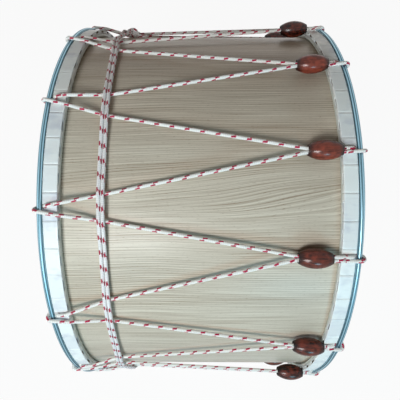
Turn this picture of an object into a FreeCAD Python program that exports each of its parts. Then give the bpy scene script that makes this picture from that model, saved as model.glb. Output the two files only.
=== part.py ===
import FreeCAD, Part
import math
import os

# A two-headed rope-tensioned bass drum, lying on its side with the cylinder's axis along X.
# Millimetres and degrees. +Z is up. The origin is at the middle of the footprint: the lowest cord
# loops touch z = 0. Everything is built round an axis through the origin and lifted on export.
#
# "axial" is a distance from the middle plane towards a head, "radius" a distance from the drum's
# axis, and an angle is measured round the axis from straight up (+Z) towards +Y.

V = FreeCAD.Vector

# ---- driving dimensions ---------------------------------------------------------------------

SHELL_RADIUS = 252.0            # outside of the bent-wood shell
SHELL_WALL = 6.0
SHELL_HALF_LENGTH = 161.5       # middle plane to each rim
SHELL_RIM_OUTER_ROUND = 2.0
SHELL_RIM_INNER_ROUND = 1.0

BRACE_WALL = 6.0                # reinforcing ring glued inside each end of the shell
BRACE_WIDTH = 25.0
BRACE_SETBACK = 5.0             # from the rim to the ring
BRACE_ROUND = 1.0

SKIN_THICKNESS = 1.0
SKIN_CLEARANCE = 0.3            # between the skin's curved faces and what they lie along
SKIN_FOLD_RADIUS = 1.5          # inside of the fold at the hoop's inner edge

HOOP_SETBACK = 24.3             # from the shell's rim to the folded skin's face that looks inward
HOOP_WIDTH = 11.7               # wooden flesh hoop, along the drum's axis
HOOP_HEIGHT = 7.0               # wooden flesh hoop, across it
HOOP_ROUND = 1.2

TAB_COUNT = 60                  # tabs cut in the rim of each skin
TAB_THICKNESS = 1.1
TAB_SEAM = 0.3                  # gap between neighbouring tabs
TAB_EDGE_ROUND = 1.0
TAB_INNER_LIP = 4.6             # how far the tab reaches down the hoop's inner face
TAB_OUTER_LIP = 6.0             # how far it reaches down the hoop's outer face
SLIT_LENGTH = 11.8              # slit in each tab, in the lip on the inner face
SLIT_HEIGHT = 2.2
SLIT_DROP = 0.8                 # from the tab's top face to the slit

RING_ROD_RADIUS = 2.5           # round steel tension ring, level with the tabs' top faces
RING_CLEARANCE = 0.1            # from the ring to the tabs' end faces

CORD_RADIUS = 1.9
CORD_CLEARANCE = 0.15           # between a cord and the ring or cord that it bears on
CORD_PAIR_HALF = 2.05           # half the distance between the two legs inside a bead
CORD_BAND_CLEARANCE = 0.8      # from the cord to the top of the tabs
CORD_DIVE_ANGLE = 55.0          # slope of the leg that goes down between the tabs and the ring
CORD_BAND_BEND = 4.0            # arc where that leg leaves the top of the tabs
CORD_EDGE_BEND = 8.0            # arc over the hoop's inner edge
CORD_MOUTH_BEND = 8.0           # arc at a bead's mouth, where the legs part
CORD_CROSSING_BEND = 20.0       # arc under the girdle
CORD_SPLIT = 2.5                # from the hoop's inner edge to where a run's name changes to a loop's
WRAP_CLOSING = 0.67             # how much closer the legs lie outside the ring than in the bead

V_COUNT = 15                    # V's of the lacing cord
BEAD_LENGTH = 33.5
BEAD_RADIUS = 9.8
BEAD_SHOULDER_RADIUS = 5.7
BEAD_BORE_RADIUS = 4.3
BEAD_EDGE_CHAMFER = 0.6
BEAD_END_GAP = 0.7              # from the bead's end to the hoop's inner face
BEAD_LEG_EXIT = 1.0             # from the bead's mouth to where the legs part
SET_BACK_BEAD = 14              # counted from the bead on top; this one is slid along already
SET_BACK = 8.5
# the cord is laced by hand: how far each of these V's, and of these hooks on the left ring, lies
# from its even place, in degrees, counted from the top
V_SHIFTS = {1: -0.8, 2: -1.2, 12: 0.4, 13: -0.7, 14: 1.1}
LEFT_HOOK_SHIFTS = {1: -0.4, 12: -2.6, 13: -2.2, 14: -0.5}

GIRDLE_SETBACK = 42.2           # from the left hoop's inner face to the girdle
GIRDLE_LEG_GAP = 2.4           # from the shell to the legs, where the girdle presses them in
GIRDLE_LIFT = 0.3               # spare height where the girdle rides over a leg
GIRDLE_TURN_GAP = 0.25          # between the girdle's two turns
GIRDLE_BEND = 12.0              # arc where the girdle rides over a leg
GIRDLE_PULL = 15.0              # how far the knot pulls the girdle to the left
GIRDLE_PULL_ANGLE = 55.5
GIRDLE_PULL_SPREAD = 18.0
GIRDLE_SAG = 4.0                # a second, weaker lean to the left
GIRDLE_SAG_ANGLE = -72.0
GIRDLE_SAG_SPREAD = 20.0
KNOT_ANGLE = 52.5
KNOT_OFFSET = 1.0               # from the girdle's line to the knot's middle, to the right
KNOT_TURNS = 3
KNOT_TURN_OVERLAP = 0.3         # how far the knot's turns press into each other
KNOT_CORE_RADIUS = 3.4
KNOT_CLEARANCE = 0.3
KNOT_TAIL_LIFT = 1.5            # the girdle's ends come to the knot this far above its middle
KNOT_TAIL_CLEARANCE = 0.8

# ---- what follows from them -----------------------------------------------------------------

CORD_DIAMETER = 2 * CORD_RADIUS
V_PITCH = 360.0 / V_COUNT
COLLAR_INNER = SHELL_RADIUS + SKIN_CLEARANCE
COLLAR_OUTER = COLLAR_INNER + SKIN_THICKNESS
HOOP_INNER = COLLAR_OUTER + SKIN_CLEARANCE
HOOP_OUTER = HOOP_INNER + HOOP_HEIGHT
TAB_INNER = HOOP_OUTER + SKIN_CLEARANCE
TAB_OUTER = TAB_INNER + TAB_THICKNESS
HOOP_FACE_AXIAL = SHELL_HALF_LENGTH - HOOP_SETBACK
HOOP_START = HOOP_FACE_AXIAL + TAB_THICKNESS + SKIN_CLEARANCE
HOOP_END = HOOP_START + HOOP_WIDTH
TAB_END = HOOP_END + SKIN_CLEARANCE + TAB_THICKNESS
RING_RADIUS = TAB_OUTER
RING_AXIAL = TAB_END + RING_CLEARANCE + RING_ROD_RADIUS
WRAP_RADIUS = RING_ROD_RADIUS + CORD_CLEARANCE + CORD_RADIUS
CORD_BAND_RADIUS = TAB_OUTER + CORD_RADIUS + CORD_BAND_CLEARANCE
AXIS_HEIGHT = RING_RADIUS + WRAP_RADIUS + CORD_RADIUS
GIRDLE_AXIAL = GIRDLE_SETBACK - HOOP_FACE_AXIAL
GIRDLE_LEG_RADIUS = SHELL_RADIUS + GIRDLE_LEG_GAP + CORD_RADIUS
GIRDLE_PITCH = CORD_DIAMETER + GIRDLE_TURN_GAP
KNOT_AXIAL = GIRDLE_AXIAL + KNOT_OFFSET
KNOT_TURN_PITCH = CORD_DIAMETER - KNOT_TURN_OVERLAP
PAIR_ANGLE = math.degrees(CORD_PAIR_HALF / CORD_BAND_RADIUS)


def polar(axial, radius, angle):
    """A point from its place along the axis, its distance from it and its angle round it."""
    turn = math.radians(angle)
    return V(axial, radius * math.sin(turn), radius * math.cos(turn))


def turned(shape, angle):
    """A copy of a shape, turned round the drum's axis."""
    copy = shape.copy()
    copy.rotate(V(0, 0, 0), V(1, 0, 0), -angle)
    return copy


def mirrored(shape):
    """The same shape at the other head."""
    return shape.mirror(V(0, 0, 0), V(1, 0, 0))


def bend(before, corner, after, radius):
    """The start, middle and end of the arc that rounds a corner."""
    to_before = (before - corner).normalize()
    to_after = (after - corner).normalize()
    half_turn = (math.pi - to_before.getAngle(to_after)) / 2
    setback = radius * math.tan(half_turn)
    inset = radius / math.cos(half_turn) - radius
    inward = (to_before + to_after).normalize()
    return corner + to_before * setback, corner + inward * inset, corner + to_after * setback


def rounded_path(points, radii):
    """Straight runs through the points, joined by tangent arcs."""
    edges = []
    start = points[0]
    for before, corner, after, radius in zip(points, points[1:], points[2:], radii):
        first, middle, last = bend(before, corner, after, radius)
        edges.append(Part.LineSegment(start, first).toShape())
        edges.append(Part.Arc(first, middle, last).toShape())
        start = last
    edges.append(Part.LineSegment(start, points[-1]).toShape())
    return Part.Wire(edges)


def tube(points, radii, radius):
    """A round cord along a rounded path."""
    path = rounded_path(points, radii)
    end = Part.Wire(Part.makeCircle(radius, points[0], points[1] - points[0]))
    return path.makePipeShell([end], True, False)


def section(corners):
    """A face in the plane of the axis, from (axial, radius, corner round) triples."""
    points = [V(axial, 0, radius) for axial, radius, _ in corners]
    edges = []
    ends = []
    for index, (_, _, corner_round) in enumerate(corners):
        corner = points[index]
        if corner_round == 0:
            ends.append((corner, corner))
            continue
        first, middle, last = bend(points[index - 1], corner, points[(index + 1) % len(points)], corner_round)
        edges.append(Part.Arc(first, middle, last).toShape())
        ends.append((first, last))
    for index in range(len(points)):
        start = ends[index - 1][1]
        end = ends[index][0]
        edges.append(Part.LineSegment(start, end).toShape())
    return Part.Face(Part.Wire(Part.__sortEdges__(edges)))


def revolved(face, angle=360.0):
    """A section swept round the drum's axis."""
    return face.revolve(V(0, 0, 0), V(1, 0, 0), angle)


def joined(shapes):
    return shapes[0].fuse(shapes[1:]).removeSplitter()


# ---- shell, heads and hoops -----------------------------------------------------------------

def make_shell():
    inner = SHELL_RADIUS - SHELL_WALL
    return revolved(section([
        (-SHELL_HALF_LENGTH, inner, SHELL_RIM_INNER_ROUND),
        (-SHELL_HALF_LENGTH, SHELL_RADIUS, SHELL_RIM_OUTER_ROUND),
        (SHELL_HALF_LENGTH, SHELL_RADIUS, SHELL_RIM_OUTER_ROUND),
        (SHELL_HALF_LENGTH, inner, SHELL_RIM_INNER_ROUND),
    ]))


def make_brace():
    """The ring glued to the inside of the shell, at the right end."""
    outer = SHELL_RADIUS - SHELL_WALL
    end = SHELL_HALF_LENGTH - BRACE_SETBACK
    return revolved(section([
        (end - BRACE_WIDTH, outer - BRACE_WALL, BRACE_ROUND),
        (end - BRACE_WIDTH, outer, 0),
        (end, outer, 0),
        (end, outer - BRACE_WALL, BRACE_ROUND),
    ]))


def make_head():
    """The skin: across the shell's rim, back along the shell and up the hoop's inner face."""
    rim = SHELL_HALF_LENGTH
    face = rim + SKIN_THICKNESS
    rim_round = SHELL_RIM_OUTER_ROUND + SKIN_CLEARANCE
    side = HOOP_FACE_AXIAL + SKIN_THICKNESS
    side_top = TAB_OUTER - TAB_INNER_LIP - SKIN_CLEARANCE
    return revolved(section([
        (face, 0, 0),
        (face, COLLAR_OUTER, rim_round + SKIN_THICKNESS),
        (side, COLLAR_OUTER, SKIN_FOLD_RADIUS),
        (side, side_top, 0),
        (HOOP_FACE_AXIAL, side_top, 0),
        (HOOP_FACE_AXIAL, COLLAR_INNER, SKIN_FOLD_RADIUS + SKIN_THICKNESS),
        (rim, COLLAR_INNER, rim_round),
        (rim, 0, 0),
    ]))


def loop_corners():
    """Where the cord's loop round the ring turns, as (axial, radius) pairs, from the leg that goes
    over the ring to the leg that goes under it."""
    edge = (HOOP_FACE_AXIAL, CORD_BAND_RADIUS)
    across = RING_AXIAL - edge[0]
    down = edge[1] - RING_RADIUS
    reach = math.hypot(across, down)
    rise = math.asin(WRAP_RADIUS / reach) - math.atan2(down, across)
    outside = RING_AXIAL + WRAP_RADIUS
    below = RING_RADIUS - WRAP_RADIUS
    dive = math.radians(CORD_DIVE_ANGLE)
    foot = RING_AXIAL - WRAP_RADIUS * math.tan(dive / 2)
    top = foot - (CORD_BAND_RADIUS - below) / math.tan(dive)
    return [
        edge,
        (outside, CORD_BAND_RADIUS + (outside - edge[0]) * math.tan(rise)),
        (outside, below),
        (foot, below),
        (top, CORD_BAND_RADIUS),
        edge,
    ]


def leg_offsets(side):
    """Degrees from the hook to the leg, at each corner of the loop."""
    if side == "right":
        near = PAIR_ANGLE
        far = PAIR_ANGLE * WRAP_CLOSING
        return [-near, -far, far, (near + far) / 2, near, near]
    signs = [-1, -1, 1, 1, 1, 1]
    return [sign * hook_offset(axial) for sign, (axial, _) in zip(signs, loop_corners())]


def hook_offset(axial):
    """Degrees from a left hook to either leg, where the two legs come together at the ring."""
    return PAIR_ANGLE + (RING_AXIAL - axial) * SPREAD_RATE


def notch(side):
    """The hollow that the diving leg presses into the tabs and the hoop, at the hook on top."""
    _, _, _, foot, top, _ = loop_corners()
    dive = math.radians(CORD_DIVE_ANGLE)
    depth = CORD_RADIUS + CORD_CLEARANCE * 2
    floor = V(top[0] - depth * math.sin(dive), 0, top[1] - depth * math.cos(dive))
    down = V(math.cos(dive), 0, -math.sin(dive))
    end = RING_AXIAL - RING_ROD_RADIUS / 2
    low = floor + down * ((end - floor.x) / down.x)
    high = V(end, 0, floor.z)
    face = Part.Face(Part.makePolygon([floor, low, high, floor]))
    angles = leg_offsets(side)[3:5]
    lateral = [math.radians(angle) * CORD_BAND_RADIUS for angle in angles]
    start = min(lateral) - depth
    face.translate(V(0, start, 0))
    return face.extrude(V(0, max(lateral) + depth - start, 0))


def bead_angle(index):
    """The angle of a V's bead, and of its hook on the right ring."""
    return V_PITCH * index + V_SHIFTS.get(index % V_COUNT, 0.0)


def left_hook_angle(index):
    """The angle of the left hook that lies half a pitch beyond a bead."""
    return V_PITCH * (index + 0.5) + LEFT_HOOK_SHIFTS.get(index % V_COUNT, 0.0)


def hook_angles(side):
    place = bead_angle if side == "right" else left_hook_angle
    return [place(index) for index in range(V_COUNT)]


def make_hoop(side):
    hoop = revolved(section([
        (HOOP_START, HOOP_INNER, HOOP_ROUND),
        (HOOP_START, HOOP_OUTER, HOOP_ROUND),
        (HOOP_END, HOOP_OUTER, HOOP_ROUND),
        (HOOP_END, HOOP_INNER, HOOP_ROUND),
    ]))
    cut = notch(side)
    return hoop.cut([turned(cut, angle) for angle in hook_angles(side)])


def make_tabs(side):
    """The skin's rim: one tab with its slit, repeated round the hoop."""
    share = 360.0 / TAB_COUNT
    width = share - math.degrees(TAB_SEAM / TAB_OUTER)
    inner_face = HOOP_FACE_AXIAL + TAB_THICKNESS
    outer_face = TAB_END - TAB_THICKNESS
    tab = revolved(section([
        (HOOP_FACE_AXIAL, TAB_OUTER - TAB_INNER_LIP, 0),
        (HOOP_FACE_AXIAL, TAB_OUTER, TAB_EDGE_ROUND),
        (TAB_END, TAB_OUTER, TAB_EDGE_ROUND),
        (TAB_END, TAB_OUTER - TAB_OUTER_LIP, 0),
        (outer_face, TAB_OUTER - TAB_OUTER_LIP, 0),
        (outer_face, TAB_INNER, 0),
        (inner_face, TAB_INNER, 0),
        (inner_face, TAB_OUTER - TAB_INNER_LIP, 0),
    ]), width)
    tab = turned(tab, width / 2)
    slit = Part.makeBox(
        TAB_THICKNESS * 2, SLIT_LENGTH, SLIT_HEIGHT,
        V(HOOP_FACE_AXIAL - TAB_THICKNESS / 2, -SLIT_LENGTH / 2, TAB_OUTER - SLIT_DROP - SLIT_HEIGHT))
    plain = tab.cut(slit)
    tabs = [turned(plain, index * share) for index in range(TAB_COUNT)]
    cut = notch(side)
    for angle in hook_angles(side):
        hooked = round(angle / share) % TAB_COUNT
        tabs[hooked] = tabs[hooked].cut(turned(cut, angle))
    return Part.makeCompound(tabs)


def make_ring():
    return Part.makeTorus(RING_RADIUS, RING_ROD_RADIUS, V(RING_AXIAL, 0, 0), V(1, 0, 0))


# ---- lacing cord and beads ------------------------------------------------------------------

# the legs of a V part at the bead's left mouth and come together again, half a pitch further
# round, at the left ring
MOUTH_AXIAL = HOOP_FACE_AXIAL - BEAD_END_GAP - BEAD_LENGTH - BEAD_LEG_EXIT
SPREAD_RATE = (V_PITCH / 2 - 2 * PAIR_ANGLE) / (MOUTH_AXIAL + RING_AXIAL)


def girdle_axial(angle):
    """Where the middle of the girdle's two turns lies, as an x, at an angle round the drum. They wind
    on by half a pitch to each side, and lean to the left near the knot and below."""
    turn = (angle + 180.0) % 360.0 - 180.0
    wound = (KNOT_ANGLE - angle) % 360.0 / 360.0 - 0.5
    pull = math.exp(-((turn - GIRDLE_PULL_ANGLE) / GIRDLE_PULL_SPREAD) ** 2)
    sag = math.exp(-((turn - GIRDLE_SAG_ANGLE) / GIRDLE_SAG_SPREAD) ** 2)
    return GIRDLE_AXIAL + wound * GIRDLE_PITCH - GIRDLE_PULL * pull - GIRDLE_SAG * sag


def spread(axial, half_width=V_PITCH / 2):
    """Degrees between a bead and its leg, at an x. half_width is the leg's whole way round, from the
    bead to its left hook."""
    rate = (half_width - 2 * PAIR_ANGLE) / (MOUTH_AXIAL + RING_AXIAL)
    return PAIR_ANGLE + (MOUTH_AXIAL - axial) * rate


def bead_slope():
    """How much a bead's line falls towards the girdle, per millimetre."""
    low = GIRDLE_LEG_RADIUS * math.cos(math.radians(spread(GIRDLE_AXIAL)))
    return (CORD_BAND_RADIUS - low) / (HOOP_FACE_AXIAL - GIRDLE_AXIAL)


def along_bead(distance, offset=0.0):
    """A point on the line through the bead on top, counted from the hoop's edge towards the left."""
    tilt = math.atan(bead_slope())
    return V(HOOP_FACE_AXIAL - distance * math.cos(tilt), offset,
             CORD_BAND_RADIUS - distance * math.sin(tilt))


def bead_set_back(index):
    return SET_BACK if index == SET_BACK_BEAD else 0.0


def leg_hook_angle(index, side):
    """The angle of the left hook that a leg of a V goes to. side is -1 or 1."""
    return left_hook_angle(index if side == 1 else index - 1)


def crossing_angle(index, side):
    """The angle at which a leg of a V goes under the girdle. side is -1 or 1."""
    bead = bead_angle(index)
    half_width = abs(leg_hook_angle(index, side) - bead)
    near = bead + side * spread(GIRDLE_AXIAL, half_width)
    return bead + side * spread(girdle_axial(near), half_width)


def make_loops(side):
    corners = loop_corners()
    offsets = leg_offsets(side)
    points = [polar(axial, radius, offset) for (axial, radius), offset in zip(corners, offsets)]
    points[0] = points[0] + (points[1] - points[0]).normalize() * CORD_SPLIT
    points[-1] = points[-1] + (points[-2] - points[-1]).normalize() * CORD_SPLIT
    loop = tube(points, [WRAP_RADIUS, WRAP_RADIUS, WRAP_RADIUS, CORD_BAND_BEND], CORD_RADIUS)
    if side == "left":
        loop = mirrored(loop)
    return Part.makeCompound([turned(loop, angle) for angle in hook_angles(side)])


def leg(index, side):
    """One leg of a V, from its left loop to its right loop. side is 1 for the leg at the larger
    angle, which goes over the left ring and under the right one, and -1 for the other."""
    over, outside, _, _, top, under = loop_corners()
    beyond_left = outside if side == 1 else top
    beyond_right = top if side == 1 else outside
    bead = bead_angle(index)
    hook = leg_hook_angle(index, side)
    left_edge = polar(-over[0], over[1], hook - side * hook_offset(over[0]))
    left_next = polar(-beyond_left[0], beyond_left[1], hook - side * hook_offset(beyond_left[0]))
    crossing = crossing_angle(index, side)
    pressed = polar(girdle_axial(crossing), GIRDLE_LEG_RADIUS, crossing)
    lateral = side * CORD_PAIR_HALF
    bead_end = BEAD_END_GAP + BEAD_LENGTH + BEAD_LEG_EXIT + bead_set_back(index)
    mouth = turned(Part.Vertex(along_bead(bead_end, lateral)), bead).Point
    right_edge = polar(under[0], under[1], bead + side * PAIR_ANGLE)
    narrowing = 1.0 if side == 1 else WRAP_CLOSING
    right_next = polar(beyond_right[0], beyond_right[1], bead + side * PAIR_ANGLE * narrowing)
    points = [
        left_edge + (left_next - left_edge).normalize() * CORD_SPLIT,
        left_edge,
        pressed,
        mouth,
        right_edge,
        right_edge + (right_next - right_edge).normalize() * CORD_SPLIT,
    ]
    return tube(points, [CORD_EDGE_BEND, CORD_CROSSING_BEND, CORD_MOUTH_BEND, CORD_EDGE_BEND], CORD_RADIUS)


def make_run(index):
    return Part.makeCompound([leg(index, -1), leg(index, 1)])


def make_bead(index):
    """A barrel-shaped bead with a bore for both legs, on the line that it slides along."""
    half = BEAD_LENGTH / 2
    chamfer = BEAD_EDGE_CHAMFER
    shoulder = half - chamfer
    left = V(-shoulder, 0, BEAD_SHOULDER_RADIUS)
    right = V(shoulder, 0, BEAD_SHOULDER_RADIUS)
    outline = [
        V(half, 0, BEAD_SHOULDER_RADIUS - chamfer),
        V(half, 0, BEAD_BORE_RADIUS + chamfer / 2),
        V(half - chamfer, 0, BEAD_BORE_RADIUS),
        V(-half + chamfer, 0, BEAD_BORE_RADIUS),
        V(-half, 0, BEAD_BORE_RADIUS + chamfer / 2),
        V(-half, 0, BEAD_SHOULDER_RADIUS - chamfer),
        left,
    ]
    edges = [Part.Arc(left, V(0, 0, BEAD_RADIUS), right).toShape()]
    start = right
    for point in outline:
        edges.append(Part.LineSegment(start, point).toShape())
        start = point
    bead = revolved(Part.Face(Part.Wire(edges)))
    bead.rotate(V(0, 0, 0), V(0, 1, 0), -math.degrees(math.atan(bead_slope())))
    bead.translate(along_bead(BEAD_END_GAP + half + bead_set_back(index)))
    return turned(bead, bead_angle(index))


# ---- girdle ---------------------------------------------------------------------------------

def girdle_crossings():
    """The angles at which the girdle rides over the legs, going round once from the knot towards
    smaller angles."""
    angles = [crossing_angle(index, side) for index in range(V_COUNT) for side in (-1, 1)]
    return sorted(angles, key=lambda angle: (KNOT_ANGLE - angle) % 360.0)


def girdle_radius(angle, offset):
    """How far from the axis a turn of the girdle rides over a leg, at an angle. offset is from the
    middle of the two turns. The leg climbs towards the left hoop under the left turn."""
    climb = (CORD_BAND_RADIUS - GIRDLE_LEG_RADIUS) / (HOOP_FACE_AXIAL + girdle_axial(angle))
    leg_top = GIRDLE_LEG_RADIUS + max(0.0, -offset) * climb + CORD_RADIUS
    return leg_top + CORD_CLEARANCE + GIRDLE_LIFT + CORD_RADIUS


def knot_end(direction):
    """Where an end of the girdle meets the knot. direction is -1 or 1 along the girdle's way round."""
    reach = KNOT_CORE_RADIUS + CORD_RADIUS + KNOT_TAIL_CLEARANCE
    radius = SHELL_RADIUS + KNOT_CLEARANCE + KNOT_CORE_RADIUS + CORD_RADIUS + KNOT_TAIL_LIFT
    return polar(KNOT_AXIAL, radius, KNOT_ANGLE + direction * math.degrees(reach / radius))


def make_girdle():
    """One cord that goes round twice, side by side, over every leg, from the knot to the knot."""
    points = [knot_end(-1)]
    for offset in (-GIRDLE_PITCH / 2, GIRDLE_PITCH / 2):
        for angle in girdle_crossings():
            points.append(polar(girdle_axial(angle) + offset, girdle_radius(angle, offset), angle))
    points.append(knot_end(1))
    return tube(points, [GIRDLE_BEND] * (len(points) - 2), CORD_RADIUS)


def make_knot():
    """The girdle's ends, wound round each other in a short barrel of turns beside the girdle."""
    radius = SHELL_RADIUS + KNOT_CLEARANCE + KNOT_CORE_RADIUS + CORD_RADIUS
    centre = polar(KNOT_AXIAL, radius, KNOT_ANGLE)
    length = (KNOT_TURNS - 1) * KNOT_TURN_PITCH
    core = Part.makeCylinder(KNOT_CORE_RADIUS, length, centre - V(length / 2, 0, 0), V(1, 0, 0))
    turns = []
    for turn in range(KNOT_TURNS):
        place = centre + V(turn * KNOT_TURN_PITCH - length / 2, 0, 0)
        turns.append(Part.makeTorus(KNOT_CORE_RADIUS, CORD_RADIUS, place, V(1, 0, 0)))
    return joined([core] + turns)


# ---- one file per sub-part ------------------------------------------------------------------

def export(name, shape):
    lifted = shape.copy()
    lifted.translate(V(0, 0, AXIS_HEIGHT))
    lifted.exportStep("parts/" + name + ".step")


def main():
    os.makedirs("parts", exist_ok=True)
    export("shell", make_shell())
    brace = make_brace()
    head = make_head()
    ring = make_ring()
    for side, place in (("left", mirrored), ("right", lambda shape: shape)):
        export(side + "_reinforcing_ring", place(brace))
        export(side + "_head", place(head))
        export(side + "_flesh_hoop", place(make_hoop(side)))
        export(side + "_hoop_tabs", place(make_tabs(side)))
        export(side + "_tension_ring", place(ring))
        export(side + "_cord_loops", make_loops(side))
    for index in range(V_COUNT):
        number = "%02d" % (index + 1)
        export("bead_" + number, make_bead(index))
        export("cord_run_" + number, make_run(index))
    export("girdle_cord", make_girdle())
    export("girdle_knot", make_knot())


main()
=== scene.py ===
import math

import bpy
import numpy as np
from mathutils import Matrix, Vector


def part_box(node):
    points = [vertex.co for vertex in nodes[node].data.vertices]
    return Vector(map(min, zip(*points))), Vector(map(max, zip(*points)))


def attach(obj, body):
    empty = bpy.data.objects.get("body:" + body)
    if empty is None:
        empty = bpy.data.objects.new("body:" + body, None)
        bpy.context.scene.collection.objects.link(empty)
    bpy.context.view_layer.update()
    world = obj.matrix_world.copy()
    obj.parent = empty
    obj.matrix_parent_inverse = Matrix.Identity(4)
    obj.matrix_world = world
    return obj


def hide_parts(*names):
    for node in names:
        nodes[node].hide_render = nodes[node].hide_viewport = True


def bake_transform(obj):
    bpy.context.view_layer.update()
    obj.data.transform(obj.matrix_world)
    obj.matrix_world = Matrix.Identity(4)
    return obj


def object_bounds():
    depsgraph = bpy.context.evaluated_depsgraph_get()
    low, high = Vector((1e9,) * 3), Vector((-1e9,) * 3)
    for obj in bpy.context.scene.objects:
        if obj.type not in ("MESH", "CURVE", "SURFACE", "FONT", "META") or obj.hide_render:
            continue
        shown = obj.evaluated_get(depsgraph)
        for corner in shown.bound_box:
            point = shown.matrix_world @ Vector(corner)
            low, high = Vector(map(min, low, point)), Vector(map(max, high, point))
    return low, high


# Looks for the rope-tensioned bass drum. The cords, beads and folded skin tabs are built here, in
# millimetres round the axis, and the shell, heads, hoops and rings keep their CAD meshes.

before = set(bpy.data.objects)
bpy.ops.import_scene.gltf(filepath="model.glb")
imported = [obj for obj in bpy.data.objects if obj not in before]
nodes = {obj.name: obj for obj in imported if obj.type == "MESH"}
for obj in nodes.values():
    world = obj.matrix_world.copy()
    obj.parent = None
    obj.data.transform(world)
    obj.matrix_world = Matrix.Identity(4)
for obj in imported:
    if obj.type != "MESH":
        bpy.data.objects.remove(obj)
cad_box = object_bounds()
rng = np.random.default_rng(20)

MM = 0.001
shell_low, shell_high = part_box("shell")
AXIS_Z = (shell_low.z + shell_high.z) / 2
SHELL_RADIUS = (shell_high.z - shell_low.z) / 2 / MM

# ---- sizes that the cords, beads and tabs share with the CAD part, in millimetres ----

HOOP_FACE_AXIAL = 137.2
TAB_OUTER = 262.0
TAB_THICKNESS = 1.1
TAB_END = 151.7
TAB_INNER_LIP = 4.6
TAB_OUTER_LIP = 6.0
TAB_COUNT = 60
SLIT_LENGTH = 11.8
SLIT_HEIGHT = 2.8
SLIT_DROP = 0.8

RING_RADIUS = 262.0
RING_ROD_RADIUS = 2.5
RING_AXIAL = 154.3

CORD_RADIUS = 1.9
CORD_CLEARANCE = 0.15
CORD_PAIR_HALF = 2.05
CORD_BAND_RADIUS = 264.7
CORD_DIVE_ANGLE = 55.0
CORD_BAND_BEND = 4.0
CORD_EDGE_BEND = 8.0
CORD_MOUTH_BEND = 8.0
CORD_CROSSING_BEND = 20.0
CORD_SPLIT = 2.5
WRAP_RADIUS = RING_ROD_RADIUS + CORD_CLEARANCE + CORD_RADIUS
WRAP_CLOSING = 0.67

V_COUNT = 15
V_PITCH = 360.0 / V_COUNT
BEAD_LENGTH = 33.5
BEAD_RADIUS = 9.8
BEAD_SHOULDER_RADIUS = 5.5
BEAD_BORE_RADIUS = 4.3
BEAD_END_GAP = 0.7
BEAD_LEG_EXIT = 1.0
SET_BACK_BEAD = 14
SET_BACK = 8.5
V_SHIFTS = {1: -0.8, 2: -1.2, 12: 0.4, 13: -0.7, 14: 1.1}
LEFT_HOOK_SHIFTS = {1: -0.4, 12: -2.6, 13: -2.2, 14: -0.5}

GIRDLE_AXIAL = -95.0
GIRDLE_LEG_RADIUS = 256.3
GIRDLE_LIFT = 0.3
GIRDLE_PITCH = 4.05
GIRDLE_BEND = 12.0
GIRDLE_PULL = 15.0
GIRDLE_PULL_ANGLE = 55.5
GIRDLE_PULL_SPREAD = 18.0
GIRDLE_SAG = 4.0
GIRDLE_SAG_ANGLE = -72.0
GIRDLE_SAG_SPREAD = 20.0
KNOT_ANGLE = 52.5
KNOT_AXIAL = -94.0
KNOT_CORE_RADIUS = 3.4
KNOT_TURNS = 3.15
KNOT_LENGTH = 10.6
KNOT_CLEARANCE = 0.3
KNOT_TAIL_LIFT = 1.5
KNOT_TAIL_CLEARANCE = 0.8

PAIR_ANGLE = math.degrees(CORD_PAIR_HALF / CORD_BAND_RADIUS)
MOUTH_AXIAL = HOOP_FACE_AXIAL - BEAD_END_GAP - BEAD_LENGTH - BEAD_LEG_EXIT
MIRRORED = np.array([-1.0, 1.0, 1.0])

# ---- how finely the scene's own meshes are drawn ----

RUN_STEP = 1.5
GIRDLE_STEP = 2.0
ARC_STEP = 0.9
CORD_SIDES = 14
BEAD_SIDES = 56


def spread_rate(half_width=V_PITCH / 2):
    """How fast the legs of a V part, in degrees per millimetre along the axis."""
    return (half_width - 2 * PAIR_ANGLE) / (MOUTH_AXIAL + RING_AXIAL)


def polar(axial, radius, angle):
    """A point from its place along the axis, its distance from it and its angle round it."""
    turn = math.radians(angle)
    return np.array([axial, radius * math.sin(turn), radius * math.cos(turn)])


def turned(points, angle):
    """Points turned round the drum's axis, from straight up towards +Y."""
    turn = math.radians(angle)
    x, y, z = np.asarray(points, float).T
    return np.stack([x, y * math.cos(turn) + z * math.sin(turn),
                     z * math.cos(turn) - y * math.sin(turn)], axis=-1)


def unit(vector):
    return vector / np.linalg.norm(vector)


def in_frame(points):
    """Millimetres round the axis, as metres in the drum's frame."""
    return np.asarray(points, float) * MM + np.array([0.0, 0.0, AXIS_Z])


# ---- paths of the cords ----

def rounded_path(points, radii, step=RUN_STEP):
    """Points along straight runs that are joined by tangent arcs."""
    path = [points[0]]
    for before, corner, after, radius in zip(points, points[1:], points[2:], radii):
        to_before = unit(before - corner)
        to_after = unit(after - corner)
        half_turn = (math.pi - math.acos(np.clip(to_before @ to_after, -1, 1))) / 2
        first = corner + to_before * radius * math.tan(half_turn)
        centre = corner + unit(to_before + to_after) * radius / math.cos(half_turn)
        outwards = (first - centre) / radius
        path += straight(path[-1], first, step)
        count = max(3, int(2 * half_turn * radius / ARC_STEP) + 1)
        for part in np.linspace(0, 2 * half_turn, count + 1)[1:]:
            path.append(centre + radius * (math.cos(part) * outwards - math.sin(part) * to_before))
    path += straight(path[-1], points[-1], step)
    return np.array(path)


def straight(start, end, step):
    """A straight run's points after its start."""
    count = max(1, int(round(np.linalg.norm(end - start) / step)))
    return [start + (end - start) * part for part in np.linspace(0, 1, count + 1)[1:]]


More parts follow.
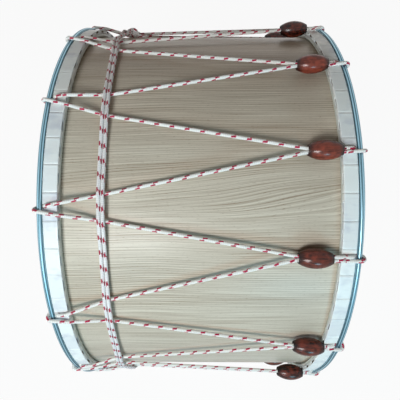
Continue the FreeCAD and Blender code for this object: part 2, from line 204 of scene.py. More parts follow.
def smooth_curve(points, count):
    """A curve through the points (Catmull-Rom)."""
    padded = np.vstack([2 * points[0] - points[1], points, 2 * points[-1] - points[-2]])
    result = []
    for value in np.linspace(0, len(points) - 1, count):
        k = min(int(value), len(points) - 2)
        t = value - k
        a, b, c, d = padded[k:k + 4]
        result.append(0.5 * (2 * b + (c - a) * t + (2 * a - 5 * b + 4 * c - d) * t ** 2
                             + (3 * b - a - 3 * c + d) * t ** 3))
    return np.array(result)


def loop_corners():
    """A loop round its steel ring, as (axial, radius): out over the band's edge, down outside the ring,
    under it, up along the dive and back over the edge."""
    edge = (HOOP_FACE_AXIAL, CORD_BAND_RADIUS)
    across = RING_AXIAL - edge[0]
    down = edge[1] - RING_RADIUS
    rise = math.asin(WRAP_RADIUS / math.hypot(across, down)) - math.atan2(down, across)
    outside = RING_AXIAL + WRAP_RADIUS
    below = RING_RADIUS - WRAP_RADIUS
    dive = math.radians(CORD_DIVE_ANGLE)
    foot = RING_AXIAL - WRAP_RADIUS * math.tan(dive / 2)
    top = foot - (CORD_BAND_RADIUS - below) / math.tan(dive)
    return [edge, (outside, CORD_BAND_RADIUS + (outside - edge[0]) * math.tan(rise)),
            (outside, below), (foot, below), (top, CORD_BAND_RADIUS), edge]


def hook_offset(axial):
    """Half the angle between a left loop's legs, at a place along the axis."""
    return PAIR_ANGLE + (RING_AXIAL - axial) * spread_rate()


def leg_offsets(side):
    """The angle of each of a loop's corners from the loop's own angle."""
    if side == "right":
        far = PAIR_ANGLE * WRAP_CLOSING
        return [-PAIR_ANGLE, -far, far, (PAIR_ANGLE + far) / 2, PAIR_ANGLE, PAIR_ANGLE]
    signs = [-1, -1, 1, 1, 1, 1]
    return [sign * hook_offset(axial) for sign, (axial, _) in zip(signs, loop_corners())]


def bead_angle(index):
    return V_PITCH * index + V_SHIFTS.get(index % V_COUNT, 0.0)


def left_hook_angle(index):
    return V_PITCH * (index + 0.5) + LEFT_HOOK_SHIFTS.get(index % V_COUNT, 0.0)


def hook_angles(side):
    place = bead_angle if side == "right" else left_hook_angle
    return [place(index) for index in range(V_COUNT)]


def girdle_axial(angle):
    """Where the girdle runs at an angle: its winding, its pull towards the knot and its sag."""
    turn = (angle + 180.0) % 360.0 - 180.0
    wound = (KNOT_ANGLE - angle) % 360.0 / 360.0 - 0.5
    pull = math.exp(-((turn - GIRDLE_PULL_ANGLE) / GIRDLE_PULL_SPREAD) ** 2)
    sag = math.exp(-((turn - GIRDLE_SAG_ANGLE) / GIRDLE_SAG_SPREAD) ** 2)
    return GIRDLE_AXIAL + wound * GIRDLE_PITCH - GIRDLE_PULL * pull - GIRDLE_SAG * sag


def spread(axial, half_width=V_PITCH / 2):
    return PAIR_ANGLE + (MOUTH_AXIAL - axial) * spread_rate(half_width)


def bead_slope():
    low = GIRDLE_LEG_RADIUS * math.cos(math.radians(spread(GIRDLE_AXIAL)))
    return (CORD_BAND_RADIUS - low) / (HOOP_FACE_AXIAL - GIRDLE_AXIAL)


def along_bead(distance, offset=0.0):
    """A point on the line through the bead at the top of the drum, from the hoop's face inwards."""
    tilt = math.atan(bead_slope())
    return np.array([HOOP_FACE_AXIAL - distance * math.cos(tilt), offset,
                     CORD_BAND_RADIUS - distance * math.sin(tilt)])


def bead_set_back(index):
    return SET_BACK if index == SET_BACK_BEAD else 0.0


def mouth_distance(index):
    return BEAD_END_GAP + BEAD_LENGTH + BEAD_LEG_EXIT + bead_set_back(index)


def leg_hook_angle(index, side):
    return left_hook_angle(index if side == 1 else index - 1)


def crossing_angle(index, side):
    bead = bead_angle(index)
    half_width = abs(leg_hook_angle(index, side) - bead)
    near = bead + side * spread(GIRDLE_AXIAL, half_width)
    return bead + side * spread(girdle_axial(near), half_width)


def leg_halves(index, side):
    """The path of one leg of a V, from its left loop to the bead's mouth, and on to its right loop."""
    over, outside, _, _, top, _ = loop_corners()
    beyond_left = outside if side == 1 else top
    beyond_right = top if side == 1 else outside
    bead = bead_angle(index)
    hook = leg_hook_angle(index, side)
    left_edge = polar(-over[0], over[1], hook - side * hook_offset(over[0]))
    left_next = polar(-beyond_left[0], beyond_left[1], hook - side * hook_offset(beyond_left[0]))
    crossing = crossing_angle(index, side)
    pressed = polar(girdle_axial(crossing), GIRDLE_LEG_RADIUS, crossing)
    mouth = turned([along_bead(mouth_distance(index), side * CORD_PAIR_HALF)], bead)[0]
    right_edge = polar(over[0], over[1], bead + side * PAIR_ANGLE)
    narrowing = 1.0 if side == 1 else WRAP_CLOSING
    right_next = polar(beyond_right[0], beyond_right[1], bead + side * PAIR_ANGLE * narrowing)
    path = rounded_path(
        [left_edge + unit(left_next - left_edge) * CORD_SPLIT, left_edge, pressed, mouth, right_edge,
         right_edge + unit(right_next - right_edge) * CORD_SPLIT],
        [CORD_EDGE_BEND, CORD_CROSSING_BEND, CORD_MOUTH_BEND, CORD_EDGE_BEND])
    parting = int(np.argmin(np.linalg.norm(path - mouth, axis=1)))
    return path[:parting + 1], path[parting:]


def loop_path(side):
    points = [polar(axial, radius, offset)
              for (axial, radius), offset in zip(loop_corners(), leg_offsets(side))]
    points[0] = points[0] + unit(points[1] - points[0]) * CORD_SPLIT
    points[-1] = points[-1] + unit(points[-2] - points[-1]) * CORD_SPLIT
    path = rounded_path(points, [WRAP_RADIUS, WRAP_RADIUS, WRAP_RADIUS, CORD_BAND_BEND])
    if side == "left":
        path = path * MIRRORED
    return path


def girdle_crossings():
    angles = [crossing_angle(index, side) for index in range(V_COUNT) for side in (-1, 1)]
    return sorted(angles, key=lambda angle: (KNOT_ANGLE - angle) % 360.0)


def girdle_radius(angle, offset):
    """The girdle's distance from the axis where it passes over a leg."""
    climb = (CORD_BAND_RADIUS - GIRDLE_LEG_RADIUS) / (HOOP_FACE_AXIAL + girdle_axial(angle))
    leg_top = GIRDLE_LEG_RADIUS + max(0.0, -offset) * climb + CORD_RADIUS
    return leg_top + CORD_CLEARANCE + GIRDLE_LIFT + CORD_RADIUS


def knot_end(direction):
    reach = KNOT_CORE_RADIUS + CORD_RADIUS + KNOT_TAIL_CLEARANCE
    radius = SHELL_RADIUS + KNOT_CLEARANCE + KNOT_CORE_RADIUS + CORD_RADIUS + KNOT_TAIL_LIFT
    return polar(KNOT_AXIAL, radius, KNOT_ANGLE + direction * math.degrees(reach / radius))


def girdle_path():
    """Two turns side by side over every leg that they cross, from and to the knot."""
    points = [knot_end(-1)]
    for offset in (-GIRDLE_PITCH / 2, GIRDLE_PITCH / 2):
        for angle in girdle_crossings():
            points.append(polar(girdle_axial(angle) + offset, girdle_radius(angle, offset), angle))
    points.append(knot_end(1))
    return rounded_path(points, [GIRDLE_BEND] * (len(points) - 2), GIRDLE_STEP)


# ---- meshes ----

def in_scene(name, data):
    """A new object in the scene, with a mesh, lamp or camera."""
    made = bpy.data.objects.new(name, data)
    bpy.context.scene.collection.objects.link(made)
    return made


def new_object(name, vertices, faces, uvs=None, tones=None):
    """A smooth mesh object from points in millimetres round the axis. uvs is one list per face;
    tones is one number per point."""
    mesh = bpy.data.meshes.new(name)
    mesh.from_pydata(in_frame(vertices).tolist(), [], faces)
    if uvs is not None:
        layer = mesh.uv_layers.new(name="cord_map")
        flat = [value for face in uvs for pair in face for value in pair]
        layer.data.foreach_set("uv", flat)
    if tones is not None:
        attribute = mesh.attributes.new("tone", "FLOAT", "POINT")
        attribute.data.foreach_set("value", np.asarray(tones, np.float32))
    mesh.polygons.foreach_set("use_smooth", [True] * len(mesh.polygons))
    mesh.validate()
    mesh.update()
    return in_scene(name, mesh)


def lengths_along(path):
    """How far each point of a path is from its start, along it."""
    return np.concatenate([[0], np.cumsum(np.linalg.norm(np.diff(path, axis=0), axis=1))])


def tube(path, start_map, twist):
    """The cord's round tube along a path: points, faces and their map. The map's first number is the
    length in millimetres, and the second goes once round; twist turns it, per millimetre."""
    sides = CORD_SIDES
    tangents = np.gradient(path, axis=0)
    tangents /= np.linalg.norm(tangents, axis=1)[:, None]
    radial = path[0] * np.array([0.0, 1.0, 1.0])
    normal = unit(radial - tangents[0] * (radial @ tangents[0]))
    around = np.linspace(0, 2 * math.pi, sides, endpoint=False)[:, None]
    rings = []
    for point, tangent in zip(path, tangents):
        normal = unit(normal - tangent * (normal @ tangent))
        side_way = np.cross(tangent, normal)
        rings.append(point + CORD_RADIUS * (np.cos(around) * normal + np.sin(around) * side_way))
    lengths = lengths_along(path) + start_map
    faces, uvs = [], []
    for i in range(len(path) - 1):
        for j in range(sides):
            k = (j + 1) % sides
            faces.append((i * sides + j, i * sides + k, (i + 1) * sides + k, (i + 1) * sides + j))
            low, high = lengths[i], lengths[i + 1]
            a, b = j / sides, (j + 1) / sides
            uvs.append(((low, a + low * twist), (low, b + low * twist),
                        (high, b + high * twist), (high, a + high * twist)))
    last = (len(path) - 1) * sides
    faces += [tuple(reversed(range(sides))), tuple(range(last, last + sides))]
    uvs += [((lengths[0], 0.0),) * sides, ((lengths[-1], 0.0),) * sides]
    return np.concatenate(rings), faces, uvs


def joined(parts):
    """Several (points, faces, map) as one."""
    vertices, faces, uvs, count = [], [], [], 0
    for points, part_faces, part_uvs in parts:
        vertices.append(points)
        faces += [tuple(index + count for index in face) for face in part_faces]
        uvs += part_uvs
        count += len(points)
    return np.concatenate(vertices), faces, uvs


# ---- materials ----

def linear(red, green, blue):
    """A screen colour, 0 to 255, as the shader's linear colour."""
    values = []
    for value in (red, green, blue):
        value = value / 255
        values.append(value / 12.92 if value <= 0.04045 else ((value + 0.055) / 1.055) ** 2.4)
    return (*values, 1.0)


class Finish:
    """A procedural material, with short calls for the nodes that it is built from."""

    def __init__(self, name, **shader):
        self.material = bpy.data.materials.new(name)
        self.material.use_nodes = True
        self.tree = self.material.node_tree
        self.shader = self.tree.nodes["Principled BSDF"]
        for key, value in shader.items():
            self.shader.inputs[key.replace("_", " ")].default_value = value

    def node(self, kind, inputs=(), **settings):
        node = self.tree.nodes.new(kind)
        for key, value in settings.items():
            setattr(node, key, value)
        for socket, value in inputs:
            if isinstance(value, bpy.types.NodeSocket):
                self.tree.links.new(value, node.inputs[socket])
            else:
                node.inputs[socket].default_value = value
        return node

    def math(self, operation, *values):
        return self.node("ShaderNodeMath", list(enumerate(values)), operation=operation).outputs[0]

    def times(self, first, second):
        return self.math("MULTIPLY", first, second)

    def plus(self, first, second):
        return self.math("ADD", first, second)

    def minus(self, first, second):
        return self.math("SUBTRACT", first, second)

    def scaled(self, value, factor, offset):
        return self.math("MULTIPLY_ADD", value, factor, offset)

    def weighted(self, *terms):
        """The sum of the values times their weights."""
        total = 0.0
        for value, weight in terms:
            total = self.scaled(value, weight, total)
        return total

    def vector(self, x, y, z=0.0):
        return self.node("ShaderNodeCombineXYZ", [(0, x), (1, y), (2, z)]).outputs[0]

    def noise(self, vector, scale=1.0, detail=2.0, roughness=0.5):
        node = self.node("ShaderNodeTexNoise", [("Vector", vector), ("Scale", scale),
                                                ("Detail", detail), ("Roughness", roughness)])
        return node.outputs["Fac"]

    def stretched(self, *axes, **settings):
        """Noise over up to three (value, scale) axes."""
        return self.noise(self.vector(*(self.times(*axis) for axis in axes)), **settings)

    def span(self, value, low, high, to_low=0.0, to_high=1.0):
        """value, from low..high to to_low..to_high, smoothly and no further."""
        sockets = ("Value", "From Min", "From Max", "To Min", "To Max")
        node = self.node("ShaderNodeMapRange", zip(sockets, (value, low, high, to_low, to_high)),
                         interpolation_type="SMOOTHSTEP")
        return node.outputs["Result"]

    def mix(self, factor, first, second):
        node = self.node("ShaderNodeMix", [(0, factor), (6, first), (7, second)], data_type="RGBA",
                         clamp_factor=True)
        return node.outputs[2]

    def place(self):
        """The point's x, y and z, in metres in the drum's frame."""
        coordinates = self.node("ShaderNodeTexCoord").outputs["Object"]
        split = self.node("ShaderNodeSeparateXYZ", [(0, coordinates)])
        return split.outputs[0], split.outputs[1], split.outputs[2]

    def cylinder(self):
        """The point's x, way round the shell and distance from the axis, in metres."""
        x, y, z = self.place()
        height = self.minus(z, AXIS_Z)
        angle = self.math("ARCTAN2", y, height)
        radius = self.math("SQRT", self.plus(self.times(y, y), self.times(height, height)))
        return x, self.times(angle, SHELL_RADIUS * MM), radius

    def mapped(self):
        """The two numbers of the piece's own map."""
        point = self.node("ShaderNodeUVMap", uv_map="cord_map").outputs[0]
        split = self.node("ShaderNodeSeparateXYZ", [(0, point)])
        return split.outputs[0], split.outputs[1]

    def tone(self):
        """The piece's own tone at the point."""
        return self.node("ShaderNodeAttribute", attribute_name="tone").outputs["Fac"]

    def use(self, colour, roughness, height, bump, distance):
        """Set the colour, the roughness unless it is None, and the bumps, distance metres high."""
        bumps = self.node("ShaderNodeBump", [("Strength", bump), ("Distance", distance),
                                             ("Height", height)])
        outputs = {"Base Color": colour, "Roughness": roughness, "Normal": bumps.outputs[0]}
        for socket, output in outputs.items():
            if output is not None:
                self.tree.links.new(output, self.shader.inputs[socket])
        return self.material


LINE_PITCH = 0.0027         # round the shell, between the veneer's lines, in metres
ARCH_WAY = -0.030           # where, round the shell, the grain climbs in arches
ARCH_SPREAD = 0.028
PAINTED_SHADE_SIDE = (0.07, 0.13)    # where, round the shell, painted shade browns the veneer, on the side turned from the lamps


def bent_wood(name, light, dark, varnish):
    """Veneer whose grain runs along the drum's axis, in fine wavy lines, with painted shade that browns
    the side turned from the lamps.
    """
    finish = Finish(name, Coat_Weight=varnish, Coat_Roughness=0.3, Specular_IOR_Level=0.3)
    x, round_way, _ = finish.cylinder()
    drift = finish.stretched((x, 5.0), (round_way, 9.0), detail=1.0)
    place = finish.math("DIVIDE", finish.minus(round_way, ARCH_WAY), ARCH_SPREAD)
    arch = finish.math("EXPONENT", finish.times(finish.times(place, place), -1.0))
    climb = finish.times(finish.times(finish.plus(x, 0.06), arch), -0.12)
    wavy = finish.plus(finish.plus(round_way, climb), finish.times(drift, 0.014))
    wobble = finish.stretched((x, 11.0), (wavy, 120.0))
    phase = finish.plus(finish.times(wavy, 2 * math.pi / LINE_PITCH), finish.times(wobble, 8.0))
    lines = finish.scaled(finish.math("SINE", phase), 0.5, 0.5)
    sharp = finish.math("POWER", lines, 3.0)
    streaks = finish.stretched((x, 9.0), (wavy, 1300.0), detail=3.0)
    broad = finish.stretched((x, 2.5), (wavy, 45.0))
    pores = finish.stretched((x, 200.0), (wavy, 1500.0))
    pore = finish.span(pores, 0.60, 0.72)
    strength = finish.span(broad, 0.3, 0.7, 0.25, 1.0)
    tone = finish.weighted((finish.times(sharp, strength), 0.38),
                           (finish.span(streaks, 0.34, 0.66), 0.44),
                           (finish.span(broad, 0.3, 0.7), 0.12),
                           # painted shade: browner on the side of the shell turned from the lamps
                           (finish.span(round_way, *PAINTED_SHADE_SIDE), 0.3),
                           (pore, 0.3))
    rough = finish.scaled(streaks, 0.14, 0.42)
    height = finish.weighted((streaks, -0.5), (sharp, -0.35), (pore, -0.6))
    return finish.use(finish.mix(tone, light, dark), rough, height, bump=0.35, distance=0.00012)


def plain_wood(name, light, dark, turns):
    """Wood that is bent round the drum: its grain runs round."""
    finish = Finish(name, Specular_IOR_Level=0.4)
    x, round_way, radius = finish.cylinder()
    grain = finish.stretched((round_way, 9.0), (x, turns), (radius, turns), detail=4.0)
    fine = finish.stretched((round_way, 60.0), (x, turns * 5), (radius, turns * 5))
    colour = finish.mix(finish.span(grain, 0.32, 0.7), light, dark)
    rough = finish.scaled(fine, 0.2, 0.5)
    return finish.use(colour, rough, fine, bump=0.3, distance=0.0002)


def skin_finish():
    """The drum's skins: a pale hide with soft cloudy patches and faint veins."""
    finish = Finish("hide_head", Specular_IOR_Level=0.45, Coat_Weight=0.15, Coat_Roughness=0.3,
                    Subsurface_Weight=0.08, Subsurface_Radius=(0.004, 0.0025, 0.0015),
                    Subsurface_Scale=1.0)
    spot = finish.vector(*finish.place())
    cloud = finish.noise(spot, scale=9.0, detail=4.0, roughness=0.6)
    vein = finish.noise(spot, scale=34.0, detail=3.0, roughness=0.65)
    speck = finish.noise(spot, scale=700.0)
    thread = finish.span(finish.math("ABSOLUTE", finish.minus(vein, 0.5)), 0.0, 0.05, 1.0, 0.0)
    tone = finish.weighted((finish.span(cloud, 0.3, 0.75), 0.55), (thread, 0.16),
                           (finish.span(speck, 0.45, 0.75), 0.14))
    colour = finish.mix(tone, linear(226, 231, 226), linear(186, 190, 183))
    rough = finish.scaled(cloud, 0.22, 0.3)
    height = finish.weighted((speck, 0.5), (thread, 0.4))
    return finish.use(colour, rough, height, bump=0.25, distance=0.0002)


def tab_finish():
    """The folded rim of the skins, whiter than the heads; each tab has its own tone."""
    finish = Finish("hide_tabs", Specular_IOR_Level=0.45, Coat_Weight=0.3, Coat_Roughness=0.25)
    x, round_way, radius = finish.cylinder()
    smudge = finish.stretched((x, 55.0), (round_way, 75.0), (radius, 40.0))
    crease = finish.stretched((x, 60.0), (round_way, 420.0), detail=3.0)
    speck = finish.noise(finish.vector(x, round_way, radius), scale=1500.0)
    shade = finish.weighted((finish.span(smudge, 0.46, 0.74), 0.42),
                            (finish.span(crease, 0.52, 0.75), 0.12), (finish.tone(), 1.0))
    colour = finish.mix(shade, linear(246, 251, 251), linear(194, 200, 216))
    rough = finish.scaled(smudge, 0.25, 0.28)
    height = finish.weighted((crease, 0.6), (speck, 0.4))
    return finish.use(colour, rough, height, bump=0.3, distance=0.0002)


def steel_finish():
    """Bright drawn steel rod: painted reflections, light and dark bands across the rod that run round
    the ring, mixed with scratches.
    """
    finish = Finish("drawn_steel", Metallic=0.85, Specular_IOR_Level=0.5)
    x, round_way, radius = finish.cylinder()
    across = finish.minus(finish.math("ABSOLUTE", x), RING_AXIAL * MM)
    minor = finish.math("ARCTAN2", finish.minus(radius, RING_RADIUS * MM), across)
    drift = finish.noise(finish.vector(finish.times(round_way, 7.0), 0.4))
    # painted reflection: light and dark bands across the rod, in the two colours below, with scratches
    # mixed in
    reflection_bands = finish.math("SINE", finish.weighted((minor, 6.5), (drift, 11.0)))
    reflection_streak = finish.scaled(reflection_bands, 0.17, 0.5)
    scratch = finish.stretched((minor, 16.0), (round_way, 14.0), detail=3.0)
    tone = finish.span(finish.weighted((reflection_streak, 0.7), (scratch, 0.3)), 0.4, 0.66)
    colour = finish.mix(tone, linear(70, 100, 112), linear(158, 198, 214))
    rough = finish.scaled(scratch, 0.2, 0.32)
    return finish.use(colour, rough, scratch, bump=0.15, distance=0.0001)


FLECK_PITCH = 15.5          # along the cord, between the red flecks of one row
FLECK_LENGTH = 4.9
FLECK_ROWS = 4.0
FLECK_STAGGER = 0.27        # from one row to the next, as a share of the pitch
FLECK_SLANT = -0.17
STRAND_PITCH = 3.6          # along the cord, between the crossings of its strands
STRANDS = 7.0


def cord_finish(name, light, dark, red):
    """A white braided cord with rows of slanted red flecks."""
    finish = Finish(name, Roughness=0.62, Specular_IOR_Level=0.3, Sheen_Weight=0.25,
                    Sheen_Roughness=0.5)
    length, around = finish.mapped()
    grit = finish.noise(finish.vector(length, finish.times(around, 14.0)), scale=0.9)
    row = finish.times(around, FLECK_ROWS)
    row_number = finish.math("FLOOR", row)
    across = finish.minus(finish.minus(row, row_number), 0.5)
    along = finish.plus(finish.math("DIVIDE", length, FLECK_PITCH),
                        finish.times(row_number, FLECK_STAGGER))
    along = finish.times(finish.minus(finish.math("FRACT", along), 0.5), FLECK_PITCH)
    quarter = 2 * math.pi * CORD_RADIUS / FLECK_ROWS
    slant = finish.minus(finish.times(across, quarter), finish.times(along, FLECK_SLANT))
    ragged = finish.times(finish.minus(grit, 0.5), 1.3)
    inside_length = finish.span(finish.plus(finish.math("ABSOLUTE", along), ragged),
                                FLECK_LENGTH / 2 - 0.35, FLECK_LENGTH / 2 + 0.25, 1.0, 0.0)
    inside_width = finish.span(finish.plus(finish.math("ABSOLUTE", slant), ragged),
                               0.9, 1.15, 1.0, 0.0)
    turns = finish.times(around, STRANDS)
    steps = finish.math("DIVIDE", length, STRAND_PITCH)
    one_way = finish.math("SINE", finish.times(finish.plus(turns, steps), 2 * math.pi))
    other_way = finish.math("SINE", finish.times(finish.minus(turns, steps), 2 * math.pi))
    braid = finish.scaled(finish.times(one_way, other_way), 0.5, 0.5)
    fibre = finish.noise(finish.vector(finish.times(length, 1.2), finish.times(around, 60.0)), scale=1.6)
    tone = finish.weighted((finish.span(braid, 0.0, 0.55, 1.0, 0.0), 0.5),
                           (finish.span(fibre, 0.35, 0.75), 0.3))
    thread = finish.mix(finish.span(grit, 0.35, 0.7), red, linear(96, 14, 34))
    colour = finish.mix(finish.times(inside_length, inside_width), finish.mix(tone, light, dark),
                        thread)
    height = finish.plus(braid, finish.times(fibre, 0.35))
    return finish.use(colour, None, height, bump=0.5, distance=0.0003)


BEAD_TONES = {0: -0.08, 1: -0.12, 2: 0.4, 12: 0.35, 13: 0.3, 14: 0.12}


def bead_finish():
    """Turned hardwood under brown-red lacquer, darker towards the shoulders and ends."""
    finish = Finish("lacquered_bead", Coat_Weight=0.6, Coat_Roughness=0.2, Specular_IOR_Level=0.02)
    along, _ = finish.mapped()
    x, y, z = finish.place()
    grain = finish.stretched((x, 60.0), (y, 520.0), (z, 520.0), detail=3.0)
    cloud = finish.noise(finish.vector(x, y, z), scale=170.0, detail=3.0)
    lathe = finish.noise(finish.vector(finish.times(along, 1.1), 0.3))
    shade = finish.weighted((finish.span(grain, 0.35, 0.68), 0.42),
                            (finish.span(cloud, 0.38, 0.64), 0.42), (finish.tone(), 1.0))
    wood = finish.mix(shade, linear(144, 62, 44), linear(28, 7, 5))
    middle = finish.math("ABSOLUTE", finish.minus(along, BEAD_LENGTH / 2))
    edge = finish.span(middle, BEAD_LENGTH / 2 - 8.0, BEAD_LENGTH / 2 - 0.3)
    colour = finish.mix(finish.times(edge, 0.9), wood, linear(24, 10, 9))
    rough = finish.scaled(cloud, 0.2, 0.26)
    return finish.use(colour, rough, lathe, bump=0.2, distance=0.0002)


# ---- cords ----

LOOP_TWIST = 0.003
LEG_TWIST = 0.0011
GIRDLE_TWIST = 0.0002
KNOT_TWIST = 0.004
GIRDLE_REACH = 12.0         # a distance right of the girdle's line, for a point on the legs that is worked out but not used

lacing = cord_finish("laced_cord", linear(255, 253, 250), linear(214, 214, 214), linear(220, 22, 84))
girdle_braid = cord_finish("girdle_cord_braid", linear(255, 253, 254), linear(196, 192, 198),
                           linear(198, 20, 70))


def dress(piece, material, slot_name, *replaced):
    piece.data.materials.append(material)
    if replaced:
        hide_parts(*replaced)


def number_of(index):
    return "%02d" % (index + 1)


def lace_v(index):
    """One V: its two legs, parted at the bead's mouth into a left and a right piece."""
    halves = {"left": [], "right": []}
    for side in (-1, 1):
        left_half, right_half = leg_halves(index, side)
        start = rng.uniform(0, FLECK_PITCH)
        twist = rng.uniform(-LEG_TWIST, LEG_TWIST)
        halves["left"].append(tube(left_half, start, twist))
        halves["right"].append(tube(right_half, start + lengths_along(left_half)[-1], twist))
    mouth = turned([along_bead(mouth_distance(index))], bead_angle(index))[0]
    edge = turned([along_bead(0.0)], bead_angle(index))[0]
    still = mouth + (mouth - edge) * ((mouth[0] - GIRDLE_AXIAL - GIRDLE_REACH) / (edge[0] - mouth[0]))
    number = number_of(index)
    for half, start in (("left", still), ("right", edge)):
        piece = new_object("lacing_%s_%s" % (number, half), *joined(halves[half]))
        dress(piece, lacing, "cord")
        if half == "left":
            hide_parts("cord_run_" + number)
        in_frame(start)
        in_frame(mouth)
        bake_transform(piece)


def lace_loops(side):
    base = loop_path(side)
    loops = []
    for angle in hook_angles(side):
        start = rng.uniform(0, FLECK_PITCH)
        loops.append(tube(turned(base, angle), start, rng.uniform(-LOOP_TWIST, LOOP_TWIST)))
    piece = new_object("lacing_loops_" + side, *joined(loops))
    dress(piece, lacing, "cord", side + "_cord_loops")
    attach(piece, "drum")


def knot_paths():
    """The knot: a barrel of turns, a strand over it that ends in a tail, and a second tail."""
    radius = SHELL_RADIUS + KNOT_CLEARANCE + KNOT_CORE_RADIUS + CORD_RADIUS
    coil = []
    for part in np.linspace(0, 1, 90):
        turn = 2 * math.pi * KNOT_TURNS * part - 1.2
        swell = KNOT_CORE_RADIUS * (1.0 + 0.1 * math.sin(math.pi * part))
        coil.append([(part - 0.5) * KNOT_LENGTH, swell * math.sin(turn),
                     radius + swell * math.cos(turn)])
    over = np.array([[-7.5, 2.0, -2.2], [-5.2, 2.6, 2.6], [-1.2, 1.2, 4.6], [3.4, -1.6, 4.4],
                     [6.6, -3.4, 1.0], [9.5, -4.4, -2.6], [15.0, -6.5, -3.2], [21.0, -7.2, -3.3]])
    tail = np.array([[7.0, 2.6, 0.8], [9.4, 4.2, -1.8], [13.0, 6.4, -3.1], [17.5, 10.0, -3.5]])
    raised = np.array([0.0, 0.0, radius])
    paths = [np.array(coil), smooth_curve(over + raised, 60), smooth_curve(tail + raised, 30)]
    return [turned(path + np.array([KNOT_AXIAL, 0.0, 0.0]), KNOT_ANGLE) for path in paths]


for index in range(V_COUNT):
    lace_v(index)
for side in ("left", "right"):
    lace_loops(side)

piece = new_object("girdle_winding", *tube(girdle_path(), 0.0, GIRDLE_TWIST))
dress(piece, girdle_braid, "cord", "girdle_cord")
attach(piece, "drum")

knot = [tube(path, rng.uniform(0, FLECK_PITCH), KNOT_TWIST) for path in knot_paths()]
piece = new_object("girdle_knot_turns", *joined(knot))
dress(piece, girdle_braid, "cord", "girdle_knot")
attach(piece, "drum")

# ---- beads ----

lacquer = bead_finish()


def bead_outline():
    """The turned outline, as (along, radius) from the left mouth round the outside to the bore."""
    half = BEAD_LENGTH / 2
    shoulder = half - 0.7
    rise = BEAD_RADIUS - BEAD_SHOULDER_RADIUS
    sphere = (shoulder ** 2 + rise ** 2) / (2 * rise)
    outline = [(-half + 0.6, BEAD_BORE_RADIUS), (-half + 0.2, BEAD_BORE_RADIUS + 0.1),
               (-half, BEAD_BORE_RADIUS + 0.35), (-half, BEAD_SHOULDER_RADIUS - 0.75),
               (-half + 0.12, BEAD_SHOULDER_RADIUS - 0.32), (-half + 0.4, BEAD_SHOULDER_RADIUS - 0.08)]
    for along in np.linspace(-shoulder, shoulder, 37):
        outline.append((along, BEAD_RADIUS - sphere + math.sqrt(sphere ** 2 - along ** 2)))
    outline += [(-along, radius) for along, radius in reversed(outline[:6])]
    return outline


def make_bead(index):
    """One bead: its outline turned round, tilted along its V's legs and set in its place."""
    outline = bead_outline()
    sides = BEAD_SIDES
    tilt = math.atan(bead_slope())
    centre = along_bead(BEAD_END_GAP + BEAD_LENGTH / 2 + bead_set_back(index))
    vertices, faces, uvs = [], [], []
    lengths = [along + BEAD_LENGTH / 2 for along, _ in outline]
    for along, radius in outline:
        for j in range(sides):
            around = 2 * math.pi * j / sides
            vertices.append((along, radius * math.sin(around), radius * math.cos(around)))
    count = len(outline)
    for i in range(count):
        n = (i + 1) % count
        for j in range(sides):
            k = (j + 1) % sides
            faces.append((i * sides + j, n * sides + j, n * sides + k, i * sides + k))
            uvs.append(((lengths[i], j / sides), (lengths[n], j / sides),
                        (lengths[n], (j + 1) / sides), (lengths[i], (j + 1) / sides)))
    points = np.array(vertices)
    x = points[:, 0] * math.cos(tilt) - points[:, 2] * math.sin(tilt)
    z = points[:, 0] * math.sin(tilt) + points[:, 2] * math.cos(tilt)
    points = np.stack([x, points[:, 1], z], axis=-1) + centre
    tones = np.full(len(points), BEAD_TONES.get(index, rng.uniform(-0.1, 0.3)))
    return new_object("turned_bead_" + number_of(index), turned(points, bead_angle(index)), faces,
                      uvs, tones)


for index in range(V_COUNT):
    bead_node = "bead_" + number_of(index)
    piece = make_bead(index)
    dress(piece, lacquer, "bead_wood", bead_node)
    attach(piece, bead_node)

# ---- CAD nodes that keep their shape ----


def finish_node(name, material):
    mesh = nodes[name].data
    mesh.materials.clear()
    mesh.materials.append(material)


hide_tabs = tab_finish()
finishes_by_side = {
    "reinforcing_ring": plain_wood("brace_ash", linear(184, 160, 122), linear(132, 106, 74), 300.0),
    "head": skin_finish(),
    # painted shade: this ash is darker than the brace's so that the slits, where it shows through, look
    # shaded
    "flesh_hoop": plain_wood("hoop_ash_slit_shade", linear(122, 98, 72), linear(78, 60, 44), 420.0),
    "tension_ring": steel_finish()}
finish_node("shell", bent_wood("bent_veneer", linear(221, 213, 198), linear(132, 109, 84), 0.4))
for node_name, material in finishes_by_side.items():
    for side in ("left", "right"):
        finish_node(side + "_" + node_name, material)

# ---- the folded skin's tabs ----

SEAM = 0.22                 # gap between neighbouring tabs
SEAM_END = 0.84             # how far across the band the seams are open
TAB_HALF = math.radians(180.0 / TAB_COUNT) * TAB_OUTER
INNER_BEND = 0.8            # radius of the fold at the slits' side
OUTER_BEND = 1.0
SKIN_BEND = 0.1             # radius of the folds on the inner face
LIP_ROWS = 4                # the section's rows on the inner lip; the last two are the slit's edges
DENT_REACH = CORD_RADIUS + 0.12


